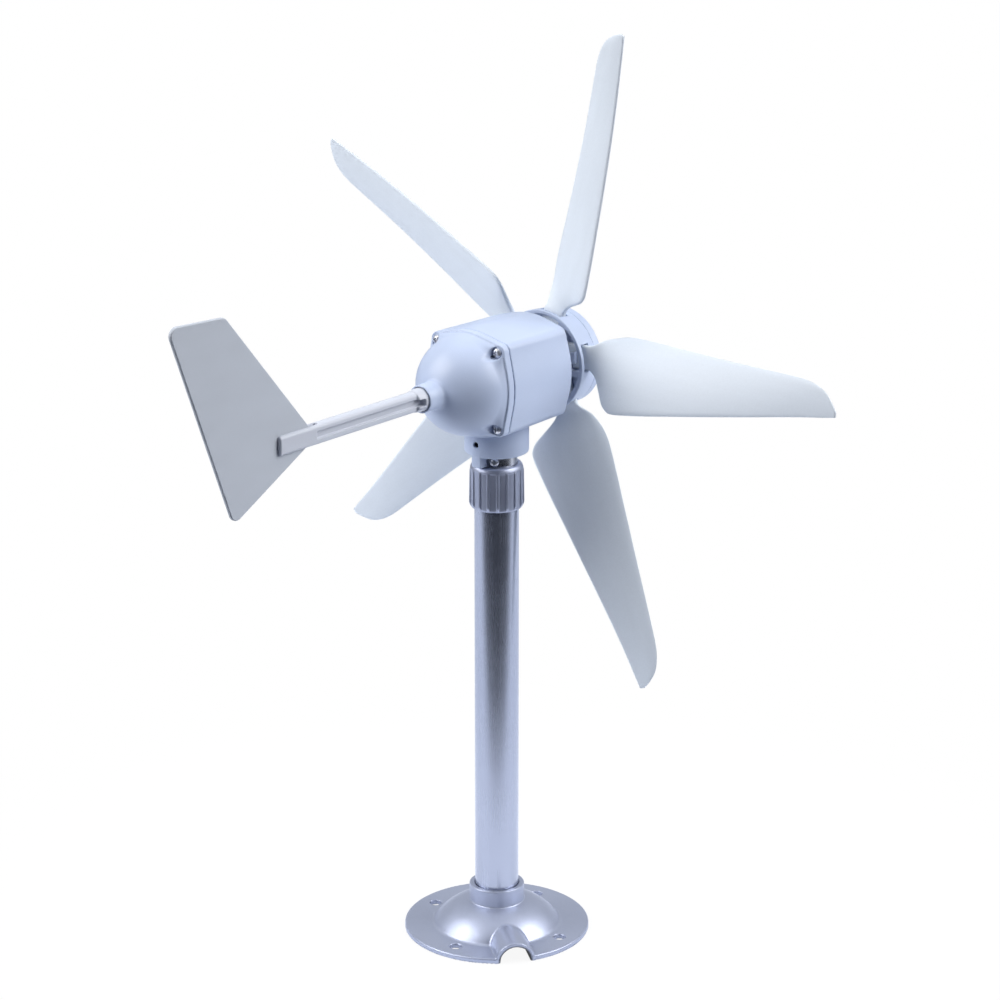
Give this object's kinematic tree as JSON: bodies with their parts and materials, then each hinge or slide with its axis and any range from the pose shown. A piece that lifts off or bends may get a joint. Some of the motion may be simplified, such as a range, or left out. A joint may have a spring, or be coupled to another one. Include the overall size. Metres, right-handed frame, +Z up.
{
  "type": "small wind turbine",
  "caption": "Small wind turbine: twisted blades and hub on a round housing that yaws with a tail vane on a short pole with a round bolt-down foot.",
  "frame": {"origin": "centre of the foot's underside, on the mast's axis", "axes": "+Z up along the mast; +X the way the rotor faces at rest; +Y to the rotor's left"},
  "size_m": [0.4031, 0.4612, 0.6661],
  "materials": {
    "foot_paint": "satin silver paint over a casting",
    "pole_aluminium": "satin anodised tube",
    "polished_aluminium": "polished, turned",
    "machined_steel": "turned",
    "screw_steel": "bright plated",
    "black_steel": "blackened",
    "white_paint": "satin white powder coat",
    "blade_nylon": "matte moulded nylon",
    "vane_plastic": "matte moulded plastic",
    "boom_plastic": "satin moulded plastic",
    "gasket_rubber": "soft flat seal",
    "bush_bronze": "sintered, oiled",
    "bearing_steel": "ground and polished",
    "plate_aluminium": "machined",
    "core_steel": "laminated",
    "coil_copper": "enamelled wire",
    "magnet_nickel": "nickel plated"
  },
  "bodies": {
    "mast": {"base_flange": "foot_paint", "pole_set_screws": "black_steel", "pole_tube": "pole_aluminium", "collar_nut": "polished_aluminium", "yaw_spindle": "machined_steel", "stop_screw": "screw_steel", "thrust_washer": "machined_steel", "spindle_circlip": "black_steel"},
    "head": {"nacelle_body": "white_paint", "lower_yaw_bush": "bush_bronze", "upper_yaw_bush": "bush_bronze", "boss_grub_screw": "black_steel", "cap_gasket": "gasket_rubber", "rear_cap": "white_paint", "cap_screws": "screw_steel", "tail_boom": "boom_plastic", "boom_washer": "machined_steel", "boom_nut": "machined_steel", "tail_fin": "vane_plastic", "stator_core": "core_steel", "stator_coils": "coil_copper", "rear_bearing_plate": "plate_aluminium", "front_bearing_plate": "plate_aluminium", "plate_screws": "screw_steel", "rear_bearing_outer": "bearing_steel", "front_bearing_outer": "bearing_steel"},
    "rotor": {"rear_bearing_inner": "bearing_steel", "rear_bearing_balls": "bearing_steel", "front_bearing_inner": "bearing_steel", "front_bearing_balls": "bearing_steel", "rotor_shaft": "machined_steel", "shaft_circlip": "black_steel", "magnet_core": "core_steel", "rotor_magnets": "magnet_nickel", "hub": "white_paint", "blade_1": "blade_nylon", "blade_2": "blade_nylon", "blade_3": "blade_nylon", "blade_4": "blade_nylon", "blade_5": "blade_nylon", "hub_front_plate": "white_paint", "hub_screws": "screw_steel", "hub_washer": "machined_steel", "hub_nut": "screw_steel", "nose_cap": "white_paint"}
  },
  "joints": [
    {"name": "yaw", "type": "hinge", "parent": "mast", "child": "head", "pos_m": [0, 0, 0.38], "axis": [0, 0, 1], "range_deg": [-295, 5]},
    {"name": "rotor_spin", "type": "hinge", "parent": "head", "child": "rotor", "pos_m": [0.059, 0, 0.425], "axis": [1, 0, 0], "continuous": true}
  ]
}
